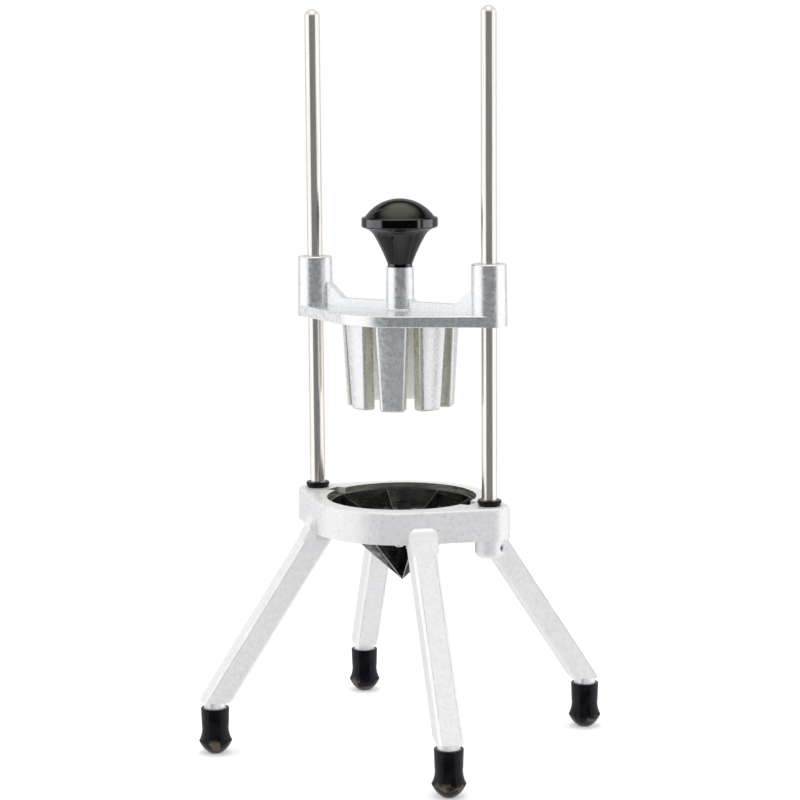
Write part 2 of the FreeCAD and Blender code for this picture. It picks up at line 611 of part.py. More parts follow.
def finger_block():
    """Disc with the ring of fingers that pass between the blades."""
    top = PUSHER_Z + BLOCK_T
    fingers = [turned(finger(), BLADE_STEP * (index + 0.5)) for index in range(2 * BLADE_COUNT)]
    shape = cylinder(BLOCK_R, PUSHER_Z, top).fuse(fingers)
    hole = cylinder(BLOCK_SCREW_D / 2 + SLIP, PUSHER_Z, top + OVERCUT, BLOCK_SCREW_R)
    sink = cone(BLOCK_SCREW_HEAD_D / 2 + SLIP, BLOCK_SCREW_D / 2 + SLIP,
                PUSHER_Z, PUSHER_Z + BLOCK_SCREW_HEAD_H, BLOCK_SCREW_R)
    cuts = [cylinder(BLOCK_BORE_D / 2, PUSHER_Z - OVERCUT, top + OVERCUT)]
    for angle in BLOCK_SCREW_ANGLES:
        cuts += [turned(hole, angle), turned(sink, angle)]
    return shape.cut(cuts).removeSplitter()


def block_screw():
    """Countersunk screw that holds the finger block to the plate."""
    neck_z = PUSHER_Z + BLOCK_SCREW_HEAD_H
    end_z = PLATE_TOP - BLOCK_SCREW_ROOF - SEAT
    head = cone(BLOCK_SCREW_HEAD_D / 2, BLOCK_SCREW_D / 2, PUSHER_Z, neck_z, BLOCK_SCREW_R)
    shank = cylinder(BLOCK_SCREW_D / 2, neck_z, end_z, BLOCK_SCREW_R)
    return head.fuse(shank).cut(hex_socket(BLOCK_SCREW_D, BLOCK_SCREW_R, PUSHER_Z)).removeSplitter()


# ---- knob ----
def knob():
    """Mushroom knob with a tapered neck, a narrow rim and a low dome."""
    neck_r, cone_r, rim_r = KNOB_NECK_D / 2, KNOB_CONE_D / 2, KNOB_RIM_D / 2
    rim_top = KNOB_RIM_Z + KNOB_RIM_H
    edge_r = rim_r - KNOB_EDGE
    shape = revolved([line(0, 0, neck_r, 0),
                      line(neck_r, 0, neck_r, KNOB_NECK_H),
                      arc(neck_r, KNOB_NECK_H, cone_r, KNOB_CONE_Z, KNOB_CONE_BULGE),
                      arc(cone_r, KNOB_CONE_Z, edge_r, KNOB_RIM_Z, KNOB_FLARE_BULGE),
                      line(edge_r, KNOB_RIM_Z, rim_r, KNOB_RIM_Z + KNOB_EDGE),
                      line(rim_r, KNOB_RIM_Z + KNOB_EDGE, rim_r, rim_top - KNOB_EDGE),
                      line(rim_r, rim_top - KNOB_EDGE, edge_r, rim_top),
                      line(edge_r, rim_top, KNOB_DOME_D / 2, rim_top),
                      cap_arc(KNOB_DOME_D / 2, rim_top, rim_top + KNOB_DOME_H)])
    shape = shape.cut(cylinder(STUD_D / 2 + SLIP, -OVERCUT, STUD_IN_KNOB + SEAT))
    return moved(shape, z=POST_TOP)


def knob_stud():
    """Stud that joins the knob to the post."""
    return cylinder(STUD_D / 2, POST_TOP - STUD_IN_POST, POST_TOP + STUD_IN_KNOB)


# ---- assembly ----
def build():
    """All nodes of the press, by name."""
    nodes = {"base_casting": base_casting(), "blade_ring": blade_ring(), "pusher_casting": pusher_casting(),
             "finger_block": finger_block(), "knob": knob(), "knob_stud": knob_stud()}
    for corner, angle in LEG_ANGLES.items():
        nodes["leg_" + corner] = leg(angle)
        nodes["foot_" + corner] = turned(foot(), angle)
    for name, shape in (("guide_rod", guide_rod()), ("rod_bumper", bumper()), ("guide_bush", guide_bush())):
        nodes[name + "_right"] = shape
        nodes[name + "_left"] = mirrored(shape)
    for index in range(BLADE_COUNT):
        nodes["blade_%d" % (index + 1)] = blade(index)
    nodes["rod_set_screws"] = Part.makeCompound([set_screw(), mirrored(set_screw())])
    nodes["ring_screws"] = Part.makeCompound([turned(ring_screw(), angle) for angle in EAR_ANGLES])
    screws = [turned(block_screw(), angle) for angle in BLOCK_SCREW_ANGLES]
    nodes["finger_block_screws"] = Part.makeCompound(screws)
    return nodes


os.makedirs("parts", exist_ok=True)
for node_name, node_shape in build().items():
    print("%-22s solids %d  volume %9.1f  valid %s"
          % (node_name, len(node_shape.Solids), node_shape.Volume, node_shape.isValid()))
    node_shape.exportStep("parts/%s.step" % node_name)
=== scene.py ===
import math
from collections import namedtuple

import bpy
from mathutils import Matrix, Vector

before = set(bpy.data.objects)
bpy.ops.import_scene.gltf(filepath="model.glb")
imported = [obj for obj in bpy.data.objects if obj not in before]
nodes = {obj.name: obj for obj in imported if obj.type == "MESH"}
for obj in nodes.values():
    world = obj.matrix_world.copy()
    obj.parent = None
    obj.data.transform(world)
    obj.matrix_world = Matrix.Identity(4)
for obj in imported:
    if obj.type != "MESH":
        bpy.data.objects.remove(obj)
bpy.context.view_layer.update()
MM = 0.001

# ---- camera, in the part's own frame: metres, and degrees from the front towards the right ----
CAMERA_AZIMUTH = 32.32
CAMERA_DISTANCE = 1.410     # from the Z axis
CAMERA_HEIGHT = 0.423
LOOK_AZIMUTH = 32.345       # the direction from which the camera looks
LOOK_DOWN = 8.27
CAMERA_ROLL = -0.43
FOCAL_PIXELS = 2280.0
IMAGE_PIXELS = 800.0
SENSOR_MM = 36.0
CLIP_NEAR = 0.05
CLIP_FAR = 50.0

# ---- light ----
WHITE = (1.0, 1.0, 1.0)
WORLD_FILL = (0.80, 0.80, 0.80)     # light from all round on diffuse surfaces
DARK_EDGE = 4.0             # soft edges of the studio's parts, in degrees
DARK_LOW = -62.0            # the dark side's lower and upper edges, in degrees above the horizon
DARK_HIGH = 36.0
BACK_ANGLE = 118.0          # from the dark side's middle to the less bright back
BACK_EDGE = 8.0
PANEL_LOW = -20.0           # the side panels' lower edge
PANEL_EDGE = 5.0
HORIZON_EDGE = 2.0          # between the back's lower and upper parts
LEAST_LEVEL = 0.001         # keeps the division finite straight up and straight down
SOFT_STUDIO = {             # what satin metal and rubber mirror; the rises and angles are in degrees
    "dark": (0.155, 0.164, 0.177), "dark_half_angle": 48.0, "panel": (1.2, 1.2, 1.2),
    "back": (0.73, 0.73, 0.72), "back_low": (0.68, 0.68, 0.70), "under": (1.0, 1.0, 1.0),
    "ceiling": (0.79, 0.79, 0.77),
    "box": (1.7, 1.7, 1.7), "box_rise": 78.0, "box_inner": 4.0, "box_outer": 32.0}
SHARP_STUDIO = {            # what a perfectly sharp coat mirrors
    "dark": (0.004, 0.004, 0.006), "dark_half_angle": 56.0, "panel": (3.4, 3.4, 3.7),
    "back": (0.50, 0.50, 0.52), "back_low": (0.50, 0.50, 0.52), "under": (0.60, 0.60, 0.58),
    "ceiling": (0.05, 0.05, 0.05),
    "box": (2.1, 2.1, 1.7), "box_rise": 94.0, "box_inner": 6.0, "box_outer": 44.0}
LAMP_AIM = (0.0, 0.0, 0.2)
LAMPS = {                   # place and size in metres, and power in watts
    "top_lamp": ((-0.1, 0.2, 1.5), (0.8, 0.8), 6.5),
    "left_lamp": ((-1.3, -0.5, 0.7), (0.7, 1.1), 3.0),
    "right_lamp": ((1.3, 0.4, 0.7), (0.7, 1.1), 3.0)}

# ---- floor ----
FLOOR_R = 1.10
FLOOR_FADE = 0.30           # width of the rim that fades into the background
FLOOR_CLEAR_R = FLOOR_R * 0.99
FLOOR_DROP = 0.0002         # below the soles
FLOOR_CORNERS = 96
FLOOR_COLOUR = (0.90, 0.90, 0.905, 1.0)
FLOOR_GLOW = 0.30           # added for the camera alone, so that the floor is as white as the background

# ---- cast metal ----
Skin = namedtuple("Skin", "light dark smooth rough pits")   # two colours, two roughnesses, share of dark pits
PUSHER_SKIN = Skin((0.96, 0.965, 0.975), (0.84, 0.85, 0.87), 0.24, 0.38, 0.15)
BASE_SKIN = Skin((0.92, 0.92, 0.93), (0.85, 0.85, 0.865), 0.28, 0.42, 0.12)
LEG_SKIN = Skin((0.92, 0.915, 0.925), (0.84, 0.835, 0.85), 0.34, 0.50, 0.25)
FINGER_SKIN = Skin((0.90, 0.91, 0.925), (0.78, 0.79, 0.81), 0.24, 0.38, 0.1)
PIT_COLOUR = (0.16, 0.155, 0.15)
PATCH_SIZE = 2.6            # sizes of the skin's features, in millimetres
LUMP_SIZE = 3.4
GRAIN_SIZE = 0.7
CLOUD_SIZE = 30.0
PIT_SPACING = 9.0
LUMP_DEPTH = 0.03
GRAIN_DEPTH = 0.005
PIT_DEPTH = 0.05
# painted shade and painted reflection: the base's bored inner wall is darkened and tinted olive
BORE_SHADE_LIGHT = (0.52, 0.51, 0.46)
BORE_SHADE_DARK = (0.40, 0.39, 0.34)
# painted highlight on the legs' chamfers and upright faces
CHAMFER_HIGHLIGHT = (0.97, 0.97, 0.975)
# painted shade: fine dark lines beside the legs' chamfers
LINE_SHADE_COLOUR = (0.40, 0.395, 0.40)
# painted shade and painted reflection: the fingers' sides are darkened and tinted olive
SIDE_SHADE_LIGHT = (0.66, 0.655, 0.585)
SIDE_SHADE_DARK = (0.54, 0.535, 0.465)
# painted light: the fingers' inner faces are made pale
FINGER_INNER_LIT = (0.97, 0.965, 0.93)
PUSHER_METALLIC = 0.86
BASE_METALLIC = 0.27
LEG_METALLIC = (0.10, 0.60)         # on the flats and on the chamfers
FINGER_METALLIC = (0.72, 0.50)      # on the outer faces and on the sides
BARE_METALLIC = 1.0

# ---- how far a surface faces away from the Z axis, as ranges over which a mask changes ----
INNER_WALL = (-0.75, -0.55)
FINGER_SIDE = (0.80, 0.93)
LEG_OFF_SIDE = (0.25, 0.45)
LEG_OFF_FACE = (0.68, 0.78)
LEG_UPRIGHT = (0.92, 0.98)

# ---- a leg's bar, in millimetres, for the painted shade lines beside its chamfers ----
LEG_FOOT_R = 120.63         # its axis at its foot, from the Z axis
LEG_LOW_Z = 32.0
LEG_SEAM_Z = 133.2          # where the bar ends under the base
LEG_SPLAY = 0.6436          # run outward for each millimetre down
LEG_FACE_HALF = 6.05        # half width of the flat between the chamfers
LEG_SIDE_HALF = 7.43        # half depth of a side's flat, measured level
FACE_LINE = (0.7, 0.3)      # where a line begins and where it is full, in from the edge of its flat
SIDE_LINE = (0.8, 0.4)
LINE_ENDS = (2.0, 4.0)      # how far from the bar's foot a line begins and is full
LINE_TOP = 2.0              # the stretch over which it ends below the seam
LINE_STRENGTH = 0.6

# ---- other materials ----
MOST = (0.3, 0.7)           # the range that holds most of a noise's values
ROD_BRIGHT = (0.93, 0.88, 0.815)
ROD_DULL = (0.80, 0.75, 0.685)
ROD_METALLIC = 0.91
BLADE_CLEAN = (0.36, 0.355, 0.345)
BLADE_MARKED = (0.13, 0.128, 0.124)
RING_LIGHT = (0.20, 0.195, 0.185)
RING_DARK = (0.11, 0.107, 0.10)
SCREW_LIGHT = (0.70, 0.70, 0.71)
SCREW_DARK = (0.52, 0.52, 0.53)
RUBBER_DARK = (0.003, 0.003, 0.0045)
RUBBER_LIGHT = (0.008, 0.0075, 0.011)
RUBBER_SCUFF = (0.140, 0.118, 0.078)
RUBBER_SPECULAR = 0.16
RUBBER_TINT = (0.82, 0.80, 1.0, 1.0)
FOOT_SCUFF_HEIGHT = 11 * MM
BUMPER_SCUFF_HEIGHT = 1 * MM        # lower than the bumpers lie, so they stay clean
BUSH_LIGHT = (0.82, 0.82, 0.80)
BUSH_DARK = (0.70, 0.70, 0.68)
KNOB_DARK = (0.002, 0.002, 0.0022)
KNOB_LIGHT = (0.005, 0.005, 0.0055)
KNOB_COAT = 0.85


# ---- shader graphs ----
class Graph:
    """Short calls for building a node tree."""

    def __init__(self, tree):
        self.tree = tree

    def add(self, kind, **inputs):
        """A node with its inputs set to values or linked to sockets."""
        node = self.tree.nodes.new(kind)
        for name, value in inputs.items():
            self.put(node.inputs[name], value)
        return node

    def put(self, socket, value):
        """Sets a socket to a value, or links another socket to it."""
        if isinstance(value, bpy.types.NodeSocket):
            self.tree.links.new(value, socket)
        elif socket.type == "RGBA" and len(value) == 3:
            socket.default_value = (*value, 1.0)
        else:
            socket.default_value = value

    def math(self, operation, a, b=None, clamp=False):
        """One scalar operation."""
        node = self.tree.nodes.new("ShaderNodeMath")
        node.operation = operation
        node.use_clamp = clamp
        self.put(node.inputs[0], a)
        if b is not None:
            self.put(node.inputs[1], b)
        return node.outputs[0]

    def vector_math(self, operation, a, b=None):
        """One vector operation; a dot product or length gives a number."""
        node = self.tree.nodes.new("ShaderNodeVectorMath")
        node.operation = operation
        self.put(node.inputs[0], a)
        if b is not None:
            self.put(node.inputs[1], b)
        return node.outputs["Value" if operation in ("DOT_PRODUCT", "LENGTH") else "Vector"]

    def smooth_step(self, value, low, high, to_low=0.0, to_high=1.0):
        """Smooth change from to_low to to_high as the value goes from low to high."""
        node = self.tree.nodes.new("ShaderNodeMapRange")
        node.interpolation_type = "SMOOTHSTEP"
        for socket, given in zip(node.inputs[:5], (value, low, high, to_low, to_high)):
            self.put(socket, given)
        return node.outputs[0]

    def mix_color(self, factor, a, b):
        """Mix of two colours."""
        node = self.tree.nodes.new("ShaderNodeMix")
        node.data_type = "RGBA"
        self.put(node.inputs["Factor"], factor)
        first, second = [socket for socket in node.inputs if socket.type == "RGBA"]
        self.put(first, a)
        self.put(second, b)
        return next(socket for socket in node.outputs if socket.type == "RGBA")

    def coordinates(self, stretch=(1.0, 1.0, 1.0)):
        """Object coordinates in millimetres, scaled along each axis."""
        place = self.add("ShaderNodeTexCoord").outputs["Object"]
        return self.vector_math("MULTIPLY", place, tuple(s / MM for s in stretch))

    def noise(self, size, detail=3.0, stretch=(1.0, 1.0, 1.0), roughness=0.55):
        """Noise from 0 to 1 whose lumps are about the given size in millimetres."""
        node = self.add("ShaderNodeTexNoise", Vector=self.coordinates(stretch), Scale=1.0 / size, Detail=detail,
                        Roughness=roughness, Distortion=0.0)
        return node.outputs["Fac"]

    def rings(self, size, squeeze, detail=3.0):
        """Fine lines round the Z axis: noise that hardly changes along X and Y."""
        return self.noise(size, detail=detail, stretch=(squeeze, squeeze, 1.0))

    def cells(self, size):
        """Distance to the nearest of scattered points, in cells of the given size in millimetres."""
        return self.add("ShaderNodeTexVoronoi", Vector=self.coordinates(), Scale=1.0 / size).outputs["Distance"]

    def bump(self, height, depth, normal=None):
        """Bump of the given depth in millimetres, over another one if given."""
        node = self.add("ShaderNodeBump", Height=height, Distance=depth * MM, Strength=1.0)
        if normal is not None:
            self.put(node.inputs["Normal"], normal)
        return node.outputs[0]


def principled(name):
    """A new material with its graph and its main shader."""
    material = bpy.data.materials.new(name)
    material.use_nodes = True
    graph = Graph(material.node_tree)
    shader = material.node_tree.nodes["Principled BSDF"]
    return material, graph, shader


# ---- camera, world, floor and lamps ----
def make_camera():
    """The camera at the photograph's viewing angle."""
    data = bpy.data.cameras.new("camera")
    data.sensor_width = SENSOR_MM
    data.lens = FOCAL_PIXELS / IMAGE_PIXELS * SENSOR_MM
    data.clip_start = CLIP_NEAR
    data.clip_end = CLIP_FAR
    camera = bpy.data.objects.new("camera", data)
    bpy.context.scene.collection.objects.link(camera)
    stand = math.radians(CAMERA_AZIMUTH)
    look = math.radians(LOOK_AZIMUTH)
    down = math.radians(LOOK_DOWN)
    roll = math.radians(CAMERA_ROLL)
    place = Vector((CAMERA_DISTANCE * math.sin(stand), -CAMERA_DISTANCE * math.cos(stand), CAMERA_HEIGHT))
    forward = Vector((-math.sin(look) * math.cos(down), math.cos(look) * math.cos(down), -math.sin(down)))
    level = Vector((math.cos(look), math.sin(look), 0.0))
    above = level.cross(forward)
    right = math.cos(roll) * level + math.sin(roll) * above
    up = -math.sin(roll) * level + math.cos(roll) * above
    turn = Matrix((right, up, -forward)).transposed().to_4x4()
    camera.matrix_world = Matrix.Translation(place) @ turn
    bpy.context.scene.camera = camera


def cosine_of(angle):
    """Cosine of an angle in degrees."""
    return math.cos(math.radians(angle))


def sine_of(angle):
    """Sine of an angle in degrees."""
    return math.sin(math.radians(angle))


def studio_direction(rise=0.0):
    """Direction of the studio's dark side in the part's frame, or one that rises above it."""
    angle = math.radians(CAMERA_AZIMUTH)
    level = cosine_of(rise)
    return level * math.sin(angle), -level * math.cos(angle), sine_of(rise)


def studio(g, direction, cosine, height, look):
    """Colour of the studio in each direction: back, side panels, ground, dark side, ceiling and soft box."""
    front = g.smooth_step(cosine, cosine_of(BACK_ANGLE + BACK_EDGE), cosine_of(BACK_ANGLE - BACK_EDGE))
    dark = g.smooth_step(cosine, cosine_of(look["dark_half_angle"] + DARK_EDGE),
                         cosine_of(look["dark_half_angle"] - DARK_EDGE))
    above = g.smooth_step(height, sine_of(DARK_HIGH - DARK_EDGE), sine_of(DARK_HIGH + DARK_EDGE))
    below = g.smooth_step(height, sine_of(DARK_LOW + DARK_EDGE), sine_of(DARK_LOW - DARK_EDGE))
    under = g.smooth_step(height, sine_of(PANEL_LOW + PANEL_EDGE), sine_of(PANEL_LOW - PANEL_EDGE))
    over_horizon = g.smooth_step(height, sine_of(-HORIZON_EDGE), sine_of(HORIZON_EDGE))
    seen = g.mix_color(front, g.mix_color(over_horizon, look["back_low"], look["back"]), look["panel"])
    seen = g.mix_color(under, seen, look["under"])
    seen = g.mix_color(g.math("MULTIPLY", dark, g.math("SUBTRACT", 1.0, below)), seen, look["dark"])
    seen = g.mix_color(above, seen, look["ceiling"])
    overhead = g.vector_math("DOT_PRODUCT", direction, studio_direction(look["box_rise"]))
    glow = g.smooth_step(overhead, cosine_of(look["box_outer"]), cosine_of(look["box_inner"]))
    return g.mix_color(glow, seen, look["box"])


def make_world():
    """White for the camera, a level fill for diffuse surfaces, and a studio that metal and gloss mirror."""
    world = bpy.data.worlds.new("studio")
    bpy.context.scene.world = world
    world.use_nodes = True
    tree = world.node_tree
    tree.nodes.clear()
    g = Graph(tree)
    direction = g.add("ShaderNodeTexCoord").outputs["Generated"]
    toward = g.vector_math("DOT_PRODUCT", direction, studio_direction())
    height = g.add("ShaderNodeSeparateXYZ", Vector=direction).outputs["Z"]
    level = g.math("SQRT", g.math("SUBTRACT", 1.0, g.math("MULTIPLY", height, height)))
    cosine = g.math("DIVIDE", toward, g.math("MAXIMUM", level, LEAST_LEVEL))
    rays = g.add("ShaderNodeLightPath")
    mirrored = g.math("MAXIMUM", rays.outputs["Is Glossy Ray"], rays.outputs["Is Transmission Ray"])
    seen = g.mix_color(rays.outputs["Is Singular Ray"], studio(g, direction, cosine, height, SOFT_STUDIO),
                       studio(g, direction, cosine, height, SHARP_STUDIO))
    colour = g.mix_color(mirrored, WORLD_FILL, seen)
    colour = g.mix_color(rays.outputs["Is Camera Ray"], colour, WHITE)
    background = g.add("ShaderNodeBackground", Color=colour)
    out = g.add("ShaderNodeOutputWorld")
    tree.links.new(background.outputs[0], out.inputs["Surface"])


def make_floor():
    """A pale round floor that fades into the white background and keeps the shadow."""
    mesh = bpy.data.meshes.new("floor")
    turns = [math.tau * i / FLOOR_CORNERS for i in range(FLOOR_CORNERS)]
    rim = [(FLOOR_R * math.cos(turn), FLOOR_R * math.sin(turn), 0.0) for turn in turns]
    mesh.from_pydata(rim, [], [list(range(FLOOR_CORNERS))])
    floor = bpy.data.objects.new("floor", mesh)
    bpy.context.scene.collection.objects.link(floor)
    floor.location.z = -FLOOR_DROP
    material = bpy.data.materials.new("floor_white")
    material.use_nodes = True
    tree = material.node_tree
    tree.nodes.clear()
    g = Graph(tree)
    radius = g.vector_math("LENGTH", g.add("ShaderNodeTexCoord").outputs["Object"])
    fade = g.smooth_step(radius, FLOOR_R - FLOOR_FADE, FLOOR_CLEAR_R)
    matt = g.add("ShaderNodeBsdfDiffuse", Color=FLOOR_COLOUR)
    rays = g.add("ShaderNodeLightPath")
    glow = g.add("ShaderNodeEmission", Color=WHITE,
                 Strength=g.math("MULTIPLY", rays.outputs["Is Camera Ray"], FLOOR_GLOW))
    lit = g.add("ShaderNodeAddShader")
    tree.links.new(matt.outputs[0], lit.inputs[0])
    tree.links.new(glow.outputs[0], lit.inputs[1])
    clear = g.add("ShaderNodeBsdfTransparent")
    mix = g.add("ShaderNodeMixShader", Fac=fade)
    tree.links.new(lit.outputs[0], mix.inputs[1])
    tree.links.new(clear.outputs[0], mix.inputs[2])
    out = g.add("ShaderNodeOutputMaterial")
    tree.links.new(mix.outputs[0], out.inputs["Surface"])
    mesh.materials.append(material)
    floor.visible_glossy = False


def make_lights():
    """Soft rectangular lamps, one overhead and one on each side, that no mirror shows."""
    for name, (place, size, power) in LAMPS.items():
        data = bpy.data.lights.new(name, "AREA")
        data.shape = "RECTANGLE"
        data.size, data.size_y = size
        data.energy = power
        lamp = bpy.data.objects.new(name, data)
        bpy.context.scene.collection.objects.link(lamp)
        lamp.location = place
        lamp.rotation_mode = "QUATERNION"
        lamp.rotation_quaternion = (Vector(LAMP_AIM) - Vector(place)).to_track_quat("-Z", "Y")
        lamp.visible_camera = False
        lamp.visible_glossy = False


# ---- cast metal ----
def cast_skin(g, shader, skin):
    """Colour, roughness and bump of cast metal: soft patches, a lumpy skin and scattered dark pits."""
    patches = g.smooth_step(g.noise(PATCH_SIZE, roughness=0.5), *MOST)
    lumps = g.noise(LUMP_SIZE, detail=2.0)
    fine = g.noise(GRAIN_SIZE, detail=1.0)
    broad = g.noise(CLOUD_SIZE, detail=2.0)
    colour = g.mix_color(patches, skin.light, skin.dark)
    colour = g.mix_color(g.smooth_step(broad, 0.35, 0.75, 0.0, 0.25), colour, skin.dark)
    spots = g.smooth_step(g.cells(PIT_SPACING), 0.03, 0.07, skin.pits, 0.0)
    colour = g.mix_color(spots, colour, PIT_COLOUR)
    roughness = g.math("ADD", g.smooth_step(patches, 0.0, 1.0, skin.rough, skin.smooth),
                       g.smooth_step(fine, *MOST, -0.02, 0.03))
    g.put(shader.inputs["Roughness"], roughness)
    normal = g.bump(lumps, LUMP_DEPTH)
    normal = g.bump(fine, GRAIN_DEPTH, normal)
    normal = g.bump(g.math("SUBTRACT", 1.0, spots), PIT_DEPTH, normal)
    g.put(shader.inputs["Normal"], normal)
    return colour


def radial_facing(g):
    """1 where a surface faces away from the Z axis, -1 where it faces the axis."""
    coordinate = g.add("ShaderNodeTexCoord")
    level = g.vector_math("MULTIPLY", coordinate.outputs["Object"], (1.0, 1.0, 0.0))
    return g.vector_math("DOT_PRODUCT", coordinate.outputs["Normal"], g.vector_math("NORMALIZE", level))


def pusher_metal():
    """The cast pusher: one bright skin all over."""
    material, g, shader = principled("cast_metal")
    g.put(shader.inputs["Base Color"], cast_skin(g, shader, PUSHER_SKIN))
    shader.inputs["Metallic"].default_value = PUSHER_METALLIC
    return material


def base_metal():
    """The cast base: a pale skin outside, and a bored inner wall as bare metal, darkened and tinted olive as
    painted shade and painted reflection.
    """
    material, g, shader = principled("base_metal")
    colour = cast_skin(g, shader, BASE_SKIN)
    bore = g.smooth_step(radial_facing(g), *INNER_WALL, 1.0, 0.0)
    turned = g.rings(0.4, squeeze=0.05, detail=2.0)
    # painted shade and painted reflection: the turned inner wall gets a dark olive colour
    bare = g.mix_color(g.smooth_step(turned, *MOST), BORE_SHADE_LIGHT, BORE_SHADE_DARK)
    g.put(shader.inputs["Base Color"], g.mix_color(bore, colour, bare))
    g.put(shader.inputs["Metallic"], g.smooth_step(bore, 0.0, 1.0, BASE_METALLIC, BARE_METALLIC))
    return material


def leg_edge_lines(g, off_side):
    """1 on the fine dark lines of painted shade that run down a leg's flats, beside its outer chamfers, fading
    in and out at random.
    """
    axes = g.add("ShaderNodeSeparateXYZ", Vector=g.coordinates())
    x = g.math("ABSOLUTE", axes.outputs["X"])
    y = g.math("ABSOLUTE", axes.outputs["Y"])
    z = axes.outputs["Z"]
    along = g.math("MULTIPLY", g.math("ADD", x, y), math.sqrt(0.5))
    across = g.math("MULTIPLY", g.math("ABSOLUTE", g.math("SUBTRACT", x, y)), math.sqrt(0.5))
    axis_r = g.math("SUBTRACT", LEG_FOOT_R, g.math("MULTIPLY", g.math("SUBTRACT", z, LEG_LOW_Z), LEG_SPLAY))
    depth = g.math("SUBTRACT", along, axis_r)
    face_line = g.smooth_step(across, *[LEG_FACE_HALF - inset for inset in FACE_LINE])
    side_line = g.smooth_step(depth, *[LEG_SIDE_HALF - inset for inset in SIDE_LINE])
    on_face = g.math("MULTIPLY", off_side, face_line)
    on_side = g.math("MULTIPLY", g.math("SUBTRACT", 1.0, off_side), side_line)
    bar = g.math("MULTIPLY", g.smooth_step(z, *[LEG_LOW_Z + rise for rise in LINE_ENDS]),
                 g.smooth_step(z, LEG_SEAM_Z - LINE_TOP, LEG_SEAM_Z, 1.0, 0.0))
    # the painted shade lines fade in and out at random along the leg
    line_patchiness = g.smooth_step(g.noise(12.0), 0.35, 0.6, 0.25, 1.0)
    return g.math("MULTIPLY", g.math("MULTIPLY", g.math("MAXIMUM", on_face, on_side), bar), line_patchiness)


def leg_metal():
    """Cast legs: flat faces with a soft skin; chamfers and upright faces made nearly white as painted
    highlight, and fine dark lines of painted shade beside the chamfers.
    """
    material, g, shader = principled("leg_metal")
    colour = cast_skin(g, shader, LEG_SKIN)
    facing = g.math("ABSOLUTE", radial_facing(g))
    off_side = g.smooth_step(facing, *LEG_OFF_SIDE)
    off_face = g.smooth_step(facing, *LEG_OFF_FACE, 1.0, 0.0)
    chamfer = g.math("MULTIPLY", off_side, off_face)
    upright = g.smooth_step(facing, *LEG_UPRIGHT)
    lines = g.math("MULTIPLY", leg_edge_lines(g, off_side), g.math("SUBTRACT", 1.0, chamfer))
    # painted highlight: the chamfers and the upright faces are made nearly white
    colour = g.mix_color(g.math("MAXIMUM", chamfer, upright), colour, CHAMFER_HIGHLIGHT)
    # painted shade: the fine dark lines darken the flats beside the chamfers
    colour = g.mix_color(g.math("MULTIPLY", lines, LINE_STRENGTH), colour, LINE_SHADE_COLOUR)
    g.put(shader.inputs["Base Color"], colour)
    g.put(shader.inputs["Metallic"], g.smooth_step(chamfer, 0.0, 1.0, *LEG_METALLIC))
    return material


def finger_metal():
    """Cast fingers: ground outer faces; sides darkened and tinted olive as painted shade and painted
    reflection; inner faces made pale and less metallic as painted light.
    """
    material, g, shader = principled("finger_metal")
    colour = cast_skin(g, shader, FINGER_SKIN)
    facing = radial_facing(g)
    side = g.smooth_step(g.math("ABSOLUTE", facing), *FINGER_SIDE, 1.0, 0.0)
    streaks = g.noise(2.5, stretch=(1.0, 1.0, 0.15))
    # painted shade and painted reflection: the sides get a darker olive colour in streaks
    side_shade = g.mix_color(g.smooth_step(streaks, 0.35, 0.65), SIDE_SHADE_LIGHT, SIDE_SHADE_DARK)
    inner = g.smooth_step(facing, *INNER_WALL, 1.0, 0.0)
    # painted light: the inner faces get a pale, non-metallic colour
    colour = g.mix_color(inner, g.mix_color(side, colour, side_shade), FINGER_INNER_LIT)
    g.put(shader.inputs["Base Color"], colour)
    metallic = g.smooth_step(side, 0.0, 1.0, *FINGER_METALLIC)
    g.put(shader.inputs["Metallic"], g.math("SUBTRACT", metallic, inner, clamp=True))
    return material


# ---- steel ----
def rod_steel():
    """Ground and polished bar with fine lines round it and faint draw marks along it."""
    material, g, shader = principled("rod_steel")
    lines = g.rings(0.12, squeeze=0.02, detail=2.0)
    along = g.noise(0.8, stretch=(1.0, 1.0, 0.012))
    cloud = g.noise(14.0, detail=2.0)
    g.put(shader.inputs["Base Color"], g.mix_color(g.smooth_step(along, 0.4, 0.7), ROD_BRIGHT, ROD_DULL))
    shader.inputs["Metallic"].default_value = ROD_METALLIC
    g.put(shader.inputs["Roughness"], g.math("ADD", g.smooth_step(lines, *MOST, 0.15, 0.21),
                                             g.smooth_step(cloud, 0.4, 0.7, 0.0, 0.05)))
    g.put(shader.inputs["Normal"], g.bump(lines, 0.0025))
    return material


def blade_steel():
    """Ground stainless blade: grinding lines across it and slight water marks."""
    material, g, shader = principled("blade_steel")
    lines = g.rings(0.25, squeeze=0.05)
    marks = g.noise(7.0, detail=4.0, roughness=0.65)
    g.put(shader.inputs["Base Color"], g.mix_color(g.smooth_step(marks, 0.42, 0.66), BLADE_CLEAN, BLADE_MARKED))
    shader.inputs["Metallic"].default_value = BARE_METALLIC
    g.put(shader.inputs["Roughness"], g.math("ADD", g.smooth_step(lines, *MOST, 0.13, 0.22),
                                             g.smooth_step(marks, 0.4, 0.7, 0.0, 0.10)))
    g.put(shader.inputs["Normal"], g.bump(lines, 0.004))
    return material


def ring_steel():
    """Dark satin ring, turned, with fine lines round it."""
    material, g, shader = principled("ring_steel")
    lines = g.rings(0.3, squeeze=0.03)
    cloud = g.noise(9.0)
    g.put(shader.inputs["Base Color"], g.mix_color(g.smooth_step(cloud, 0.4, 0.7), RING_LIGHT, RING_DARK))
    shader.inputs["Metallic"].default_value = BARE_METALLIC
    g.put(shader.inputs["Roughness"], g.smooth_step(lines, *MOST, 0.2, 0.34))
    g.put(shader.inputs["Normal"], g.bump(lines, 0.006))
    return material


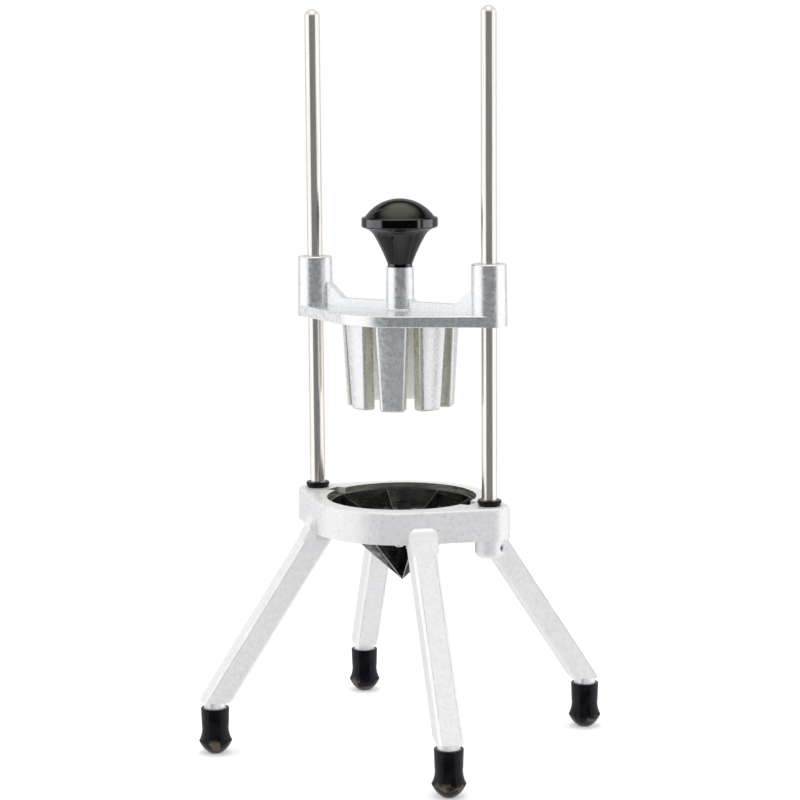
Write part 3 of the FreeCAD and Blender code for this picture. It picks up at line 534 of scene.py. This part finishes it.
def screw_steel():
    """Stainless screw with a grained head."""
    material, g, shader = principled("screw_steel")
    grain = g.noise(0.35)
    g.put(shader.inputs["Base Color"], g.mix_color(grain, SCREW_LIGHT, SCREW_DARK))
    shader.inputs["Metallic"].default_value = BARE_METALLIC
    g.put(shader.inputs["Roughness"], g.smooth_step(grain, *MOST, 0.22, 0.38))
    g.put(shader.inputs["Normal"], g.bump(grain, 0.012))
    return material


# ---- rubber and plastic ----
def rubber(name, scuff_height):
    """Black moulded rubber, dusty and scuffed up to a height in metres."""
    material, g, shader = principled(name)
    skin = g.noise(0.5)
    patches = g.noise(6.0, roughness=0.5)
    z = g.add("ShaderNodeSeparateXYZ", Vector=g.add("ShaderNodeTexCoord").outputs["Object"]).outputs["Z"]
    low = g.smooth_step(z, 0.6 * scuff_height, scuff_height, 1.0, 0.0)
    scuffed = g.math("MULTIPLY", low, g.smooth_step(patches, 0.52, 0.62, 0.0, 0.8))
    colour = g.mix_color(g.smooth_step(patches, 0.35, 0.7), RUBBER_DARK, RUBBER_LIGHT)
    g.put(shader.inputs["Base Color"], g.mix_color(scuffed, colour, RUBBER_SCUFF))
    g.put(shader.inputs["Roughness"], g.math("ADD", g.smooth_step(patches, *MOST, 0.15, 0.24),
                                             g.math("MULTIPLY", scuffed, 0.3)))
    shader.inputs["Specular IOR Level"].default_value = RUBBER_SPECULAR
    shader.inputs["Specular Tint"].default_value = RUBBER_TINT
    g.put(shader.inputs["Normal"], g.bump(skin, 0.018))
    return material


def bush_plastic():
    """White acetal with faint turning lines."""
    material, g, shader = principled("bush_plastic")
    lines = g.rings(0.3, squeeze=0.05, detail=2.0)
    g.put(shader.inputs["Base Color"], g.mix_color(g.smooth_step(lines, *MOST), BUSH_LIGHT, BUSH_DARK))
    g.put(shader.inputs["Roughness"], g.smooth_step(lines, *MOST, 0.36, 0.48))
    g.put(shader.inputs["Normal"], g.bump(lines, 0.01))
    return material


def knob_plastic():
    """Glossy black moulded plastic: a sharp, slightly wavy coat over faint handling marks."""
    material, g, shader = principled("knob_plastic")
    waves = g.noise(7.0, detail=1.0)
    rubs = g.noise(1.6, detail=5.0, roughness=0.7)
    g.put(shader.inputs["Base Color"], g.mix_color(g.smooth_step(rubs, 0.4, 0.8), KNOB_DARK, KNOB_LIGHT))
    g.put(shader.inputs["Roughness"], g.smooth_step(rubs, 0.35, 0.8, 0.25, 0.45))
    shader.inputs["Specular IOR Level"].default_value = 0.0
    shader.inputs["Coat Weight"].default_value = KNOB_COAT
    shader.inputs["Coat Roughness"].default_value = 0.0
    g.put(shader.inputs["Coat Normal"], g.bump(waves, 0.03))
    return material


def paint(material, *names):
    """Gives CAD nodes a material."""
    for name in names:
        piece = nodes[name]
        if piece.material_slots:
            for place in piece.material_slots:
                place.material = material
        else:
            piece.data.materials.append(material)


def starting_with(prefix):
    """The CAD nodes whose names start so."""
    return sorted(name for name in nodes if name.startswith(prefix))


make_camera()
make_world()
make_floor()
make_lights()

paint(pusher_metal(), "pusher_casting")
paint(base_metal(), "base_casting")
paint(finger_metal(), "finger_block")
paint(leg_metal(), *starting_with("leg_"))
paint(rod_steel(), *starting_with("guide_rod_"))
paint(blade_steel(), *[name for name in starting_with("blade_") if name != "blade_ring"])
paint(ring_steel(), "blade_ring")
paint(screw_steel(), "rod_set_screws", "ring_screws", "finger_block_screws", "knob_stud")
paint(rubber("foot_rubber", FOOT_SCUFF_HEIGHT), *starting_with("foot_"))
paint(rubber("bumper_rubber", BUMPER_SCUFF_HEIGHT), *starting_with("rod_bumper_"))
paint(bush_plastic(), *starting_with("guide_bush_"))
paint(knob_plastic(), "knob")

bpy.context.scene.view_settings.view_transform = "Standard"
